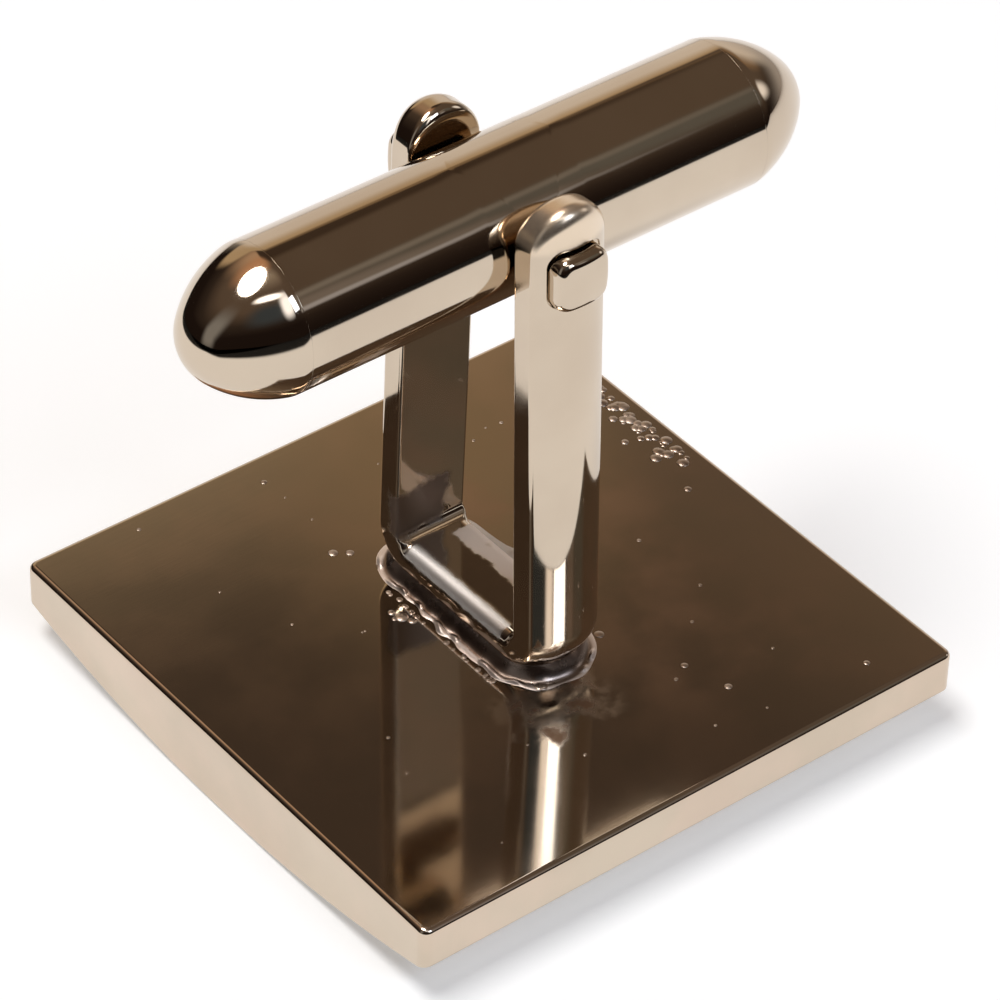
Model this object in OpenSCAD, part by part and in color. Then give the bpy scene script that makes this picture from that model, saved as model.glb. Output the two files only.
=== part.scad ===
// Swivel-back cufflink: a square plate with a domed front, a bent stirrup frame soldered to
// its flat back, and a bullet-shaped toggle that swings between the frame's two arms.
// X runs along the closed toggle, Y along the pivot pin, Z up from the front to the toggle.
// The origin is under the middle of the plate, on the lowest line of the domed front.

/* [Face plate] */
// Side of the square plate
plate_side = 18; // [12:0.5:24]
// Thickness of the plate at its two thin edges
plate_edge_t = 1.3; // [0.9:0.1:2]
// How far the front swells out along the middle of the plate
plate_rise = 1.1; // [0.4:0.1:1.6]
// Rounding of the rim around the flat back
plate_rim_r = 0.25; // [0.1:0.05:0.5]
// Rounding of the four upright corners
plate_corner_r = 0.3; // [0.15:0.05:1.5]

/* [Post frame] */
// Width of the half-round strip that the frame is bent from
strip_w = 2.35; // [2:0.05:3]
// Height of the strip's flat sides
strip_side_t = 0.75; // [0.5:0.05:1]
// How far the strip's outer face swells out past its sides
strip_crown = 0.4; // [0.2:0.05:0.6]
// Inner radius of the two bends at the foot
bend_r = 0.35; // [0.2:0.05:0.8]
// Height of the pivot above the plate's back
pivot_h = 13.3; // [12:0.1:17]
// Height of the arm tips above the pivot
tip_h = 1.95; // [1.7:0.05:2.6]
// Rounding of the outer edge of each arm tip
tip_r = 0.45; // [0.3:0.05:0.6]
// How much further out each arm stands at its foot than at the pivot
arm_spread = 0.36; // [0:0.04:0.8]
// Gap between the barrel and each arm at the pivot
arm_gap = 0.11; // [0.1:0.01:0.3]

/* [Pivot pin] */
// Diameter of the pin
pin_d = 1.3; // [1.1:0.05:1.5]
// Depth of each of the four flats on the middle of the pin
cam_cut = 0.12; // [0.06:0.01:0.16]
// Side of the staked head on each end
head_side = 1.6; // [1.5:0.05:1.9]
// Corner radius of the heads
head_corner_r = 0.4; // [0.2:0.05:0.6]
// How far the heads stand out from the arms
head_proud = 0.42; // [0.2:0.02:0.6]
// Radius of the heads' slightly domed faces
head_dome_r = 3.2; // [2.4:0.1:6]
// Running gap around the pin in the barrel
run_gap = 0.04; // [0.02:0.01:0.08]
// Gap around the pin and its heads in the arms
seat_gap = 0.02; // [0.01:0.01:0.05]

/* [Toggle] */
// Outer diameter of the toggle
toggle_d = 4.16; // [3.6:0.02:4.6]
// Length of the straight barrel
barrel_l = 14.6; // [12:0.2:15.6]
// Wall of the barrel
barrel_wall = 0.35; // [0.25:0.05:0.5]
// Length of each rounded end cap
cap_l = 2.42; // [2.3:0.02:3.4]
// Radius of the shoulder where a cap leaves the barrel's line
cap_shoulder_r = 1; // [0.6:0.1:1.6]
// Angle that the shoulder turns through
cap_shoulder_turn = 14; // [6:1:18]
// Radius of the tip of each end cap
cap_tip_r = 1.48; // [1.1:0.02:1.6]
// Length of the plug on each cap that is pressed into the barrel
plug_l = 1.5; // [1:0.1:2]
// Chamfer on both edges of the seam between cap and barrel
seam_c = 0.05; // [0.02:0.01:0.1]

/* [Leaf springs] */
// Width of the leaf springs
leaf_w = 2.3; // [1.8:0.1:2.5]
// Thickness of the leaf springs
leaf_t = 0.2; // [0.12:0.02:0.25]
// Gap between a leaf and what it bears on
leaf_gap = 0.02; // [0.01:0.01:0.04]
// Gap between the leaf ends and the cap plugs
leaf_end_gap = 0.3; // [0.1:0.1:0.6]

/* [Solder] */
// How far the solder reaches past the strip's sides
solder_reach = 0.6; // [0.3:0.05:1]
// Height of the solder against the strip
solder_h = 0.55; // [0.45:0.05:0.7]

/* [Hidden] */
$fn = 96;
// Sides of the wide shallow arcs
arc_sides = 360;
// Overrun of cuts past the faces that they open
over = 0.5;
// Share of the strip's wall at the tip, beside the outer rounding, that the inner one takes
tip_inner_share = 0.5;
back_z = plate_edge_t + plate_rise;
dome_r = (pow(plate_side / 2, 2) + pow(plate_rise, 2)) / (2 * plate_rise);
strip_t = strip_side_t + strip_crown;
crown_r = (pow(strip_w / 2, 2) + pow(strip_crown, 2)) / (2 * strip_crown);
toggle_r = toggle_d / 2;
pivot_z = back_z + pivot_h;
bend_z = back_z + strip_t + bend_r;
bend_y = toggle_r + arm_gap + arm_spread - bend_r;
// The arms lean in from the bends to the pivot
lean = atan(arm_spread / (pivot_z - bend_z));
arm_l = (pivot_z - bend_z + tip_h) / cos(lean);
head_half = head_side / 2 + seat_gap;
// The heads sit in shallow flats, cut where the strip's round face has fallen away
seat_depth = crown_r - sqrt(pow(crown_r, 2) - pow(head_half, 2)) + head_half * tan(lean);
arm_face_y = toggle_r + arm_gap + strip_t / cos(lean);
seat_y = arm_face_y - seat_depth;
bore_r = toggle_r - barrel_wall;
cam_half = pin_d / 2 - cam_cut;
// End of the shoulder as [r, x] from the seam, and its way out, for an arc that also meets the tip
shoulder_way = [cos(cap_shoulder_turn), sin(cap_shoulder_turn)];
shoulder_end = [toggle_r - cap_shoulder_r, 0] + cap_shoulder_r * shoulder_way;
tip_mid = [0, cap_l - cap_tip_r];
tip_to_end = shoulder_end - tip_mid;
cap_flank_r = (tip_to_end * tip_to_end - pow(cap_tip_r, 2))
            / (2 * (tip_to_end * shoulder_way - cap_tip_r));
flank_mid = shoulder_end - cap_flank_r * shoulder_way;
cap_join = tip_mid.y + cap_tip_r * (tip_mid.y - flank_mid.y) / (cap_flank_r - cap_tip_r);
leaf_l = barrel_l - 2 * (plug_l + leaf_end_gap);
leaf_low = cam_half + leaf_gap;
leaf_bow = sqrt(pow(bore_r, 2) - pow(leaf_w / 2, 2)) - leaf_gap - leaf_t - leaf_low;
leaf_r = (pow(leaf_l / 2, 2) + pow(leaf_bow, 2)) / (2 * leaf_bow);
plate_metal = "tan";
frame_metal = "silver";
toggle_metal = "burlywood";
spring_metal = "slategray";
solder_metal = "rosybrown";

// A square of the given side with rounded corners, about the origin
module rounded_square(side, r) {
    flat = side - 2 * r;
    square([side, flat], center = true);
    square([flat, side], center = true);
    for (x = [-1, 1], y = [-1, 1])
        translate([x * flat / 2, y * flat / 2])
            circle(r = r);
}

// A block's outline with its two upper corners rounded, from y = 0 up to the height
module rimmed_block(side, height, r) {
    translate([-side / 2, 0])
        square([side, height - r]);
    translate([r - side / 2, 0])
        square([side - 2 * r, height]);
    for (x = [-1, 1])
        translate([x * (side / 2 - r), height - r])
            circle(r = r);
}

// The same outline with the front's shallow arc as its lower edge
module domed_block() {
    intersection() {
        rimmed_block(plate_side, back_z, plate_rim_r);
        translate([0, dome_r])
            circle(r = dome_r, $fn = arc_sides);
    }
}

module face_plate() {
    color(plate_metal)
        intersection() {
            rotate([90, 0, 90])
                linear_extrude(height = plate_side, center = true)
                    domed_block();
            rotate([90, 0, 0])
                linear_extrude(height = plate_side, center = true)
                    rimmed_block(plate_side, back_z, plate_rim_r);
            linear_extrude(height = back_z)
                rounded_square(plate_side, plate_corner_r);
        }
}

// Section of the strip: the flat inner face on x = 0, the round outer face towards +x
module strip_section() {
    intersection() {
        translate([0, -strip_w / 2])
            square([strip_t, strip_w]);
        translate([strip_t - crown_r, 0])
            circle(r = crown_r);
    }
}

// One arm, standing on the end of its bend, with a tip rounded from both sides
module arm() {
    intersection() {
        translate([0, bend_r, 0])
            rotate([0, 0, 90])
                linear_extrude(height = arm_l)
                    strip_section();
        union() {
            translate([-strip_w / 2, 0, 0])
                cube([strip_w, bend_r + strip_t, arm_l - strip_w / 2]);
            translate([0, 0, arm_l - strip_w / 2])
                rotate([-90, 0, 0])
                    cylinder(d = strip_w, h = bend_r + strip_t);
        }
        rotate([90, 0, 90])
            linear_extrude(height = strip_w, center = true)
                translate([bend_r, 0])
                    tip_profile();
    }
}

// The arm seen from its side, with both edges of the tip rounded, the outer one more
module tip_profile() {
    inner_r = (strip_t - tip_r) * tip_inner_share;
    square([strip_t, arm_l - tip_r]);
    square([strip_t - tip_r, arm_l - inner_r]);
    translate([inner_r, 0])
        square([strip_t - tip_r - inner_r, arm_l]);
    translate([inner_r, arm_l - inner_r])
        circle(r = inner_r);
    translate([strip_t - tip_r, arm_l - tip_r])
        circle(r = tip_r);
}

// Half of the bent strip, on the side of +Y
module half_frame() {
    translate([0, 0, bend_z - bend_r])
        rotate([0, 90, 90])
            linear_extrude(height = bend_y)
                strip_section();
    translate([0, bend_y, bend_z]) {
        rotate([0, 90, 0])
            rotate_extrude(angle = 90 + lean)
                translate([bend_r, 0])
                    strip_section();
        rotate([lean, 0, 0])
            arm();
    }
}

module bent_strip() {
    half_frame();
    mirror([0, 1, 0])
        half_frame();
}

module post_frame() {
    color(frame_metal)
        difference() {
            bent_strip();
            translate([0, 0, pivot_z])
                rotate([90, 0, 0])
                    cylinder(r = pin_d / 2 + seat_gap, h = 2 * (arm_face_y + over), center = true);
            for (side = [0, 1])
                mirror([0, side, 0])
                    head_place()
                        linear_extrude(height = seat_depth + over)
                            rounded_square(2 * head_half, head_corner_r + seat_gap);
        }
}

// Puts a piece that stands on z = 0 on the seat of the far head
module head_place() {
    translate([0, seat_y, pivot_z])
        rotate([-90, 0, 0])
            children();
}

module pin_head() {
    head_h = seat_depth + head_proud;
    intersection() {
        linear_extrude(height = head_h)
            rounded_square(head_side, head_corner_r);
        translate([0, 0, head_h - head_dome_r])
            sphere(r = head_dome_r);
    }
}

// Round journals at both ends, and between them four flats, a little wider than the leaf springs
module pivot_pin() {
    cam_l = leaf_w + 2 * leaf_gap;
    color(frame_metal) {
        translate([0, 0, pivot_z]) {
            for (side = [0, 1])
                mirror([0, side, 0])
                    translate([0, cam_l / 2, 0])
                        rotate([-90, 0, 0])
                            cylinder(d = pin_d, h = seat_y - cam_l / 2);
            intersection() {
                rotate([90, 0, 0])
                    cylinder(d = pin_d, h = cam_l, center = true);
                cube([2 * cam_half, cam_l, 2 * cam_half], center = true);
            }
        }
        for (side = [0, 1])
            mirror([0, side, 0])
                head_place()
                    pin_head();
    }
}

module toggle_barrel() {
    color(toggle_metal)
        translate([0, 0, pivot_z])
            difference() {
                rotate([0, 90, 0]) {
                    cylinder(r = toggle_r, h = barrel_l - 2 * seam_c, center = true);
                    for (end = [0, 1])
                        mirror([0, 0, end])
                            translate([0, 0, barrel_l / 2 - seam_c])
                                cylinder(r1 = toggle_r, r2 = toggle_r - seam_c, h = seam_c);
                }
                rotate([0, 90, 0])
                    cylinder(r = bore_r, h = barrel_l + 2 * over, center = true);
                rotate([90, 0, 0])
                    cylinder(r = pin_d / 2 + run_gap, h = toggle_d + 2 * over, center = true);
            }
}

// Half outline of a cap: three arcs in one line, for the shoulder, the flank and the tip
module cap_outline() {
    difference() {
        union() {
            cap_arc([toggle_r - cap_shoulder_r, 0], cap_shoulder_r, 0, shoulder_end.y);
            cap_arc(flank_mid, cap_flank_r, shoulder_end.y, cap_join);
            cap_arc(tip_mid, cap_tip_r, cap_join, cap_l);
        }
        polygon([[toggle_r - seam_c, 0], [toggle_r + over, 0], [toggle_r + over, seam_c],
                 [toggle_r, seam_c]]);
    }
}

// The part of a disc between two heights above the seam, out from the axis
module cap_arc(mid, r, low, high) {
    intersection() {
        translate(mid)
            circle(r = r, $fn = arc_sides);
        translate([0, low])
            square([toggle_r, high - low]);
    }
}

// A cap standing on the seam plane, with its plug below
module cap() {
    rotate_extrude()
        cap_outline();
    translate([0, 0, -plug_l])
        cylinder(r = bore_r - leaf_gap, h = plug_l);
}

// End is 1 for the cap on the side of +X, and -1 for the other
module placed_cap(end) {
    color(toggle_metal)
        translate([end * barrel_l / 2, 0, pivot_z])
            rotate([0, end * 90, 0])
                cap();
}

module toggle_cap_left() {
    placed_cap(-1);
}

module toggle_cap_right() {
    placed_cap(1);
}

// Bowed leaf over the pivot: its middle lies on a flat of the pin, its ends on the bore's wall
module leaf_spring() {
    rotate([90, 0, 0])
        linear_extrude(height = leaf_w, center = true)
            intersection() {
                translate([0, leaf_low + leaf_r])
                    difference() {
                        circle(r = leaf_r, $fn = arc_sides);
                        circle(r = leaf_r - leaf_t, $fn = arc_sides);
                    }
                translate([-leaf_l / 2, 0])
                    square([leaf_l, bore_r]);
            }
}

module leaf_spring_upper() {
    color(spring_metal)
        translate([0, 0, pivot_z])
            leaf_spring();
}

module leaf_spring_lower() {
    color(spring_metal)
        translate([0, 0, pivot_z])
            mirror([0, 0, 1])
                leaf_spring();
}

// Bead around the frame's foot, cut to the strip that it holds
module solder_fillet() {
    foot_r = strip_w / 2 + solder_reach;
    color(solder_metal)
        difference() {
            translate([0, 0, back_z]) {
                rotate([90, 0, 0])
                    linear_extrude(height = 2 * bend_y, center = true)
                        polygon([[-foot_r, 0], [foot_r, 0], [strip_w / 2, solder_h],
                                 [-strip_w / 2, solder_h]]);
                for (side = [-1, 1])
                    translate([0, side * bend_y, 0])
                        cylinder(r1 = foot_r, r2 = strip_w / 2, h = solder_h);
            }
            bent_strip();
        }
}

face_plate();
solder_fillet();
post_frame();
pivot_pin();
toggle_barrel();
toggle_cap_left();
toggle_cap_right();
leaf_spring_upper();
leaf_spring_lower();
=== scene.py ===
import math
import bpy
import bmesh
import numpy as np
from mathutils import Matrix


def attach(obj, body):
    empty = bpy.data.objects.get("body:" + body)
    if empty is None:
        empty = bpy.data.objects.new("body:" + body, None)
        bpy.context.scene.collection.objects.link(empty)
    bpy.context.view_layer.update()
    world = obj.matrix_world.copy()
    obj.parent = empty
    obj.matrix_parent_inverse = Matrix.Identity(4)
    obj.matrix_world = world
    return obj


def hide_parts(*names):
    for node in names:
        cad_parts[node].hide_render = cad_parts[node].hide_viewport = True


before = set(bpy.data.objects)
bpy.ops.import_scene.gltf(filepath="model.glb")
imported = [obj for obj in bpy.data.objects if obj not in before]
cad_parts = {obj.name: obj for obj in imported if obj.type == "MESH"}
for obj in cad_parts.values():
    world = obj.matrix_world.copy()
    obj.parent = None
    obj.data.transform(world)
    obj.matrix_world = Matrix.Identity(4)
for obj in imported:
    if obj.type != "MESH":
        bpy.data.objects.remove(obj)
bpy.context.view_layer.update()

# %% [markdown]
# # A swivel-back cufflink in polished nickel
# The real cufflink is a square plate with a bent stirrup soldered to its back, and a
# bullet-shaped toggle that turns on a pin between the stirrup's arms. Every surface here is
# a formula on a grid of two parameters, worked out with numpy for all points at once. A
# mirror shows the smallest facet, so the grids are fine and the edges in view are rounded.

MM = 0.001


# %% [markdown]
# ## From grids to closed pieces
# A grid is an array of points with two indexes, and each cell of it becomes one four-sided
# face. The pieces could be primitives with modifiers, but a mirror shows every place where
# a modifier guesses. So each piece is made of a few computed sheets that share their
# borders. Points closer than WELD millimetres become one there, and on the closed shell
# Blender can tell which side is out.

# %% Sheets to a mesh
WELD = 0.0004


def cells(rows, cols, close_cols):
    """Index of the four corners of every cell; the last column joins the first if closed."""
    ring = cols if close_cols else cols - 1
    i, j = np.meshgrid(np.arange(rows - 1), np.arange(ring), indexing="ij")
    nxt = (j + 1) % cols
    return np.stack([i * cols + j, i * cols + nxt, (i + 1) * cols + nxt, (i + 1) * cols + j],
                    axis=-1).reshape(-1, 4)


def piece(name, sheets, body, node=None, crease=None):
    """Weld sheets of points in millimetres, each given as (points, closed), into one piece."""
    points, faces, start = [], [], 0
    for sheet, close_cols in sheets:
        rows, cols = sheet.shape[:2]
        points.append(sheet.reshape(-1, 3) * MM)
        faces.append(cells(rows, cols, close_cols) + start)
        start += rows * cols
    mesh = bpy.data.meshes.new(name)
    mesh.from_pydata(np.concatenate(points), [], np.concatenate(faces))
    bm = bmesh.new()
    bm.from_mesh(mesh)
    bmesh.ops.remove_doubles(bm, verts=bm.verts, dist=WELD * MM)
    bmesh.ops.recalc_face_normals(bm, faces=bm.faces)
    open_edges = sum(1 for edge in bm.edges if not edge.is_manifold)
    bm.to_mesh(mesh)
    bm.free()
    mesh.polygons.foreach_set("use_smooth", np.ones(len(mesh.polygons), dtype=bool))
    if crease is not None:
        mesh.set_sharp_from_angle(angle=math.radians(crease))
    made = bpy.data.objects.new(name, mesh)
    bpy.context.scene.collection.objects.link(made)
    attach(made, body)
    if node:
        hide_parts(node)
    print(name, "faces", len(mesh.polygons), "open edges", open_edges)
    return made


# %% [markdown]
# ## An outline that can be drawn in
# The plate is a square with round corners, and each of its rounded edges is a few loops of
# that outline, each drawn in a little further. Scaling a loop would be simpler, but it draws
# the corners in further than the sides. So the outline is kept as a centre line and a
# direction for each point, and the radius between them says how far it is drawn in.

# %% Rounded square
def unit(angle):
    """Unit vectors (cos, sin) of one angle or of many."""
    return np.stack([np.cos(angle), np.sin(angle)], axis=-1)


def rounded_square(side, corner_r, arc_steps, side_steps):
    """Centres and outward directions round a square; point = centre + radius * direction.

    The points of each side crowd towards its corners.
    """
    reach = (side / 2 - corner_r) * math.sqrt(2)
    share = np.linspace(0, 1, side_steps + 1)[1:-1]
    share = (1 - np.cos(np.pi * share)) / 2
    centres, outward = [], []
    for quarter in range(4):
        turn = math.pi / 2 * quarter
        angle = turn + np.linspace(0, math.pi / 2, arc_steps + 1)
        corner, nxt = reach * unit(turn + math.pi / 4), reach * unit(turn + 3 * math.pi / 4)
        centres.append(np.repeat(corner[None], len(angle), axis=0))
        outward.append(unit(angle))
        centres.append(corner + (nxt - corner) * share[:, None])
        outward.append(np.repeat(unit(turn + math.pi / 2)[None], len(share), axis=0))
    return np.concatenate(centres), np.concatenate(outward)


# %% [markdown]
# ## The face plate
# The square plate lies on its domed front. The back is flat up to a narrow rounded rim, and
# the front is part of a wide cylinder, so the two walls along the toggle have one height
# and the two across it swell like a lens. A cube with a Bevel modifier would do for matt
# metal, but its smooth shading bends the mirror beside the rim. So the plate is a stack of
# loops, crowded towards the rim, and a narrow flat loop beside each rounding keeps the
# mirror of the back truly flat right up to it.

# %% Plate surface
PLATE_SIDE, PLATE_EDGE, PLATE_RISE, RIM_R, CORNER_R = 18.0, 1.3, 1.1, 0.17, 0.3
BACK_Z = PLATE_EDGE + PLATE_RISE
DOME_R = ((PLATE_SIDE / 2) ** 2 + PLATE_RISE ** 2) / (2 * PLATE_RISE)
FRONT_R, LOOP, CROWDING = 0.08, 0.02, 0.8
CORNER_STEPS, SIDE_STEPS = 8, 72


def front_z(y):
    """Height of the domed front: the lower arc of a circle of radius DOME_R."""
    return DOME_R - np.sqrt(DOME_R ** 2 - y ** 2)


def plate_surface():
    """Loops of the rounded square from the middle of the back, over the rim, to the front."""
    centre, out = rounded_square(PLATE_SIDE, CORNER_R, CORNER_STEPS, SIDE_STEPS)

    def loop(inset, share=1.0):
        return share * (centre + (CORNER_R - inset) * out)

    loops = []
    for share in np.linspace(0, 1, 13) ** CROWDING:
        xy = loop(RIM_R + LOOP, share)
        loops.append(np.column_stack([xy, np.full(len(xy), BACK_Z)]))
    for turn in np.linspace(0, math.pi / 2, 9):
        xy = loop(RIM_R * (1 - math.sin(turn)))
        loops.append(np.column_stack([xy, np.full(len(xy), BACK_Z - RIM_R * (1 - math.cos(turn)))]))
    xy = loop(0)
    top, foot = BACK_Z - RIM_R, front_z(xy[:, 1]) + FRONT_R
    for share in (0.03, 0.35, 0.65, 0.97):
        loops.append(np.column_stack([xy, top + (foot - top) * share]))
    for turn in np.linspace(0, math.pi / 2, 6):
        xy = loop(FRONT_R * (1 - math.cos(turn)))
        loops.append(np.column_stack([xy, front_z(xy[:, 1]) + FRONT_R * (1 - math.sin(turn))]))
    for share in np.linspace(1, 0, 30) ** CROWDING:
        xy = loop(FRONT_R + LOOP, share)
        loops.append(np.column_stack([xy, front_z(xy[:, 1])]))
    return np.stack(loops)


plate = piece("plate", [(plate_surface(), True)], "base", "face_plate")


# %% [markdown]
# ## The stirrup
# A maker cuts a strip of half-round wire, rounds both ends, sinks a seat for the pin near
# each end, and then bends it up twice. The surface is made in the same order. A Curve
# modifier could bend it too, but not with an exact seat for the pin, so a formula does it:
# it takes a point of the flat strip and returns its place on the bent one.

# %% Strip and path values
STRIP_W, SIDE_T, CROWN = 2.35, 0.75, 0.4
STRIP_T = SIDE_T + CROWN
CROWN_R = ((STRIP_W / 2) ** 2 + CROWN ** 2) / (2 * CROWN)
BEND_R, PIVOT_Z, TIP_H = 0.35, BACK_Z + 13.3, 1.95
TOGGLE_R, ARM_GAP, ARM_SPREAD = 2.08, 0.11, 0.36
BEND_Z = BACK_Z + STRIP_T + BEND_R
BEND_Y = TOGGLE_R + ARM_GAP + ARM_SPREAD - BEND_R
LEAN = math.atan(ARM_SPREAD / (PIVOT_Z - BEND_Z))
ARM_L = (PIVOT_Z - BEND_Z + TIP_H) / math.cos(LEAN)
PIVOT_L = (PIVOT_Z - BEND_Z) / math.cos(LEAN)
BEND_TURN = math.pi / 2 + LEAN
BEND_L = 1.4
LIP_R = 0.03
# The seat's depth follows from the solid's gap round the head, and the seat is cut wider
HEAD_SIDE, HEAD_CORNER_R, SOLID_GAP, SEAT_GAP = 1.6, 0.4, 0.02, 0.04
SEAT_HALF = HEAD_SIDE / 2 + SEAT_GAP
HEAD_HALF = HEAD_SIDE / 2 + SOLID_GAP
SEAT_DEPTH = CROWN_R - math.sqrt(CROWN_R ** 2 - HEAD_HALF ** 2) + HEAD_HALF * math.tan(LEAN)
ARM_FACE_Y = TOGGLE_R + ARM_GAP + STRIP_T / math.cos(LEAN)
SEAT_Y = ARM_FACE_Y - SEAT_DEPTH
PIN_R, SEAT_UNDER = 0.65, 0.03
TIP_FALL, TIP_FROM, TIP_MID_Y = 0.11, 0.9, TOGGLE_R + ARM_GAP + STRIP_T / 2
print("stirrup: lean in degrees", round(math.degrees(LEAN), 2), "arm length", round(ARM_L, 2))


def bend_strip(x, along, out):
    """Bend the flat strip: along runs from the middle of the foot, out from the inner face.

    The foot is straight up to BEND_Y, then comes a circular bend, then the straight arm,
    which leans in by LEAN; the side of -Y is the mirror of the side of +Y.
    """
    q = np.abs(along)
    turn = np.clip((q - BEND_Y) / BEND_L, 0, 1) * BEND_TURN
    rise = np.maximum(q - BEND_Y - BEND_L, 0)
    flat = np.minimum(q, BEND_Y)
    y = flat + (BEND_R + out) * np.sin(turn) - rise * math.sin(LEAN)
    z = BEND_Z - (BEND_R + out) * np.cos(turn) + rise * math.cos(LEAN)
    return file_tip(np.stack([x + 0 * q, np.sign(along) * y, z], axis=-1))


def file_tip(points):
    """Both tips were filed in one stroke, so they fall towards +Y by a slope of TIP_FALL.

    The fall starts gently, at the height TIP_FROM over the pivot.
    """
    y, z = points[..., 1], points[..., 2]
    share = np.clip(z - PIVOT_Z - TIP_FROM, 0, 1) ** 2
    fall = TIP_FALL * (y - np.sign(y) * TIP_MID_Y) * share
    return np.stack([points[..., 0], y, z - fall], axis=-1)


def crown_out(x):
    """Thickness of the strip at x: the height of a wide arc, its round outer face."""
    return STRIP_T - CROWN_R + np.sqrt(np.maximum(CROWN_R ** 2 - x ** 2, 0))


# %% [markdown]
# ## The outline of half the strip
# The outline runs up one side of the half strip, round its tip and down the other side. A
# line goes inwards from each of its points. Far from the pin these lines end on the strip's
# middle line, and near it on the rim of the hole. Between WRAP_FROM and WRAP_TO their ends
# climb along the middle line, so the grid stays one sheet without a tear.

# %% Outline points
TIP_S = BEND_Y + BEND_L + ARM_L
ARCH_S = TIP_S - STRIP_W / 2
PIN_S = BEND_Y + BEND_L + PIVOT_L
WRAP_FROM, WRAP_TO = PIN_S - 4.2, PIN_S - 2.2
BORE_R = 0.7
side_s = np.unique(np.concatenate([
    np.linspace(0, BEND_Y - LOOP, 6), np.linspace(BEND_Y, BEND_Y + BEND_L, 29),
    np.linspace(BEND_Y + BEND_L + LOOP, WRAP_FROM, 22), np.linspace(WRAP_FROM, WRAP_TO, 9),
    np.linspace(WRAP_TO, ARCH_S, 25)]).round(9))
arch = np.linspace(0, math.pi, 81)[1:-1]
mid_s = np.concatenate([side_s, np.full(len(arch), ARCH_S), side_s[::-1]])
way_x = np.concatenate([np.ones(len(side_s)), np.cos(arch), -np.ones(len(side_s))])
way_s = np.concatenate([0 * side_s, np.sin(arch), 0 * side_s])


def outline(inset):
    """The half strip's outline drawn in: up one side, round the tip, and down the other.

    Each point is the strip's middle line plus half its width, less the inset, along its way.
    """
    r = STRIP_W / 2 - inset
    return np.stack([r * way_x, mid_s + r * way_s], axis=1)


def smooth(share):
    """The S-curve 3 t^2 - 2 t^3 of a share, held to 0 and 1 outside."""
    share = np.clip(share, 0, 1)
    return share ** 2 * (3 - 2 * share)


# The inner edge is wide and soft along the foot, where solder and polish have filled it, and
# both edges grow softer round the tip
INNER_R, INNER_FOOT, INNER_TIP, OUTER_R, OUTER_TIP = 0.1, 0.32, 0.25, 0.09, 0.36
foot_share = 1 - smooth((mid_s - BEND_Y + 0.1) / 0.8)
inner_r = INNER_R + INNER_FOOT * foot_share + INNER_TIP * way_s ** 1.5
outer_r = OUTER_R + OUTER_TIP * way_s ** 1.5


def square_reach(angle, half, corner_r):
    """Distance from the middle of a rounded square to its outline, in each direction."""
    a = np.abs((angle + math.pi / 4) % (math.pi / 2) - math.pi / 4)
    c = half - corner_r
    corner = c * (np.cos(a) + np.sin(a)) + np.sqrt(
        np.maximum(corner_r ** 2 - c ** 2 * (np.cos(a) - np.sin(a)) ** 2, 0))
    return np.where(half * np.tan(a) <= c, half / np.cos(a), corner)


edge0 = outline(0)
around = np.unwrap(np.arctan2(edge0[:, 1] - PIN_S, edge0[:, 0]))
wrapped = edge0[:, 1] >= WRAP_TO - 1e-9
first_turn = around[wrapped][0]
hole_turn = -math.pi / 2 + (around - first_turn) * 2 * math.pi / (math.pi - 2 * first_turn)
print("outline points", len(mid_s), "of them round the hole", int(wrapped.sum()))


def inner_ends(reach):
    """Where each line of the sheet ends: on the middle line, or on the rim of the hole.

    reach is the hole's polar radius at hole_turn. Between WRAP_FROM and WRAP_TO the ends
    climb the middle line up to the lowest point of the hole.
    """
    low = PIN_S - reach[wrapped][0]
    climb = np.clip((edge0[:, 1] - WRAP_FROM) / (WRAP_TO - WRAP_FROM), 0, 1)
    s = np.minimum(edge0[:, 1], WRAP_FROM) + climb * (low - WRAP_FROM)
    line = np.stack([np.zeros(len(s)), s], axis=1)
    rim = np.stack([reach * np.cos(hole_turn), PIN_S + reach * np.sin(hole_turn)], axis=1)
    return np.where(wrapped[:, None], rim, line)


# %% [markdown]
# ## The stirrup's faces
# One sheet runs from the bore over the inner face, round the inner edge, up the side, round
# the outer edge and over the crown to the lip of the seat. A second sheet is the seat's
# wall and floor and the wall of the bore. Both are bent to either side, and the four sheets
# weld into one closed shell. A Boolean modifier could cut the seat, but it would leave long
# thin triangles, which show in polished metal.

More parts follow.
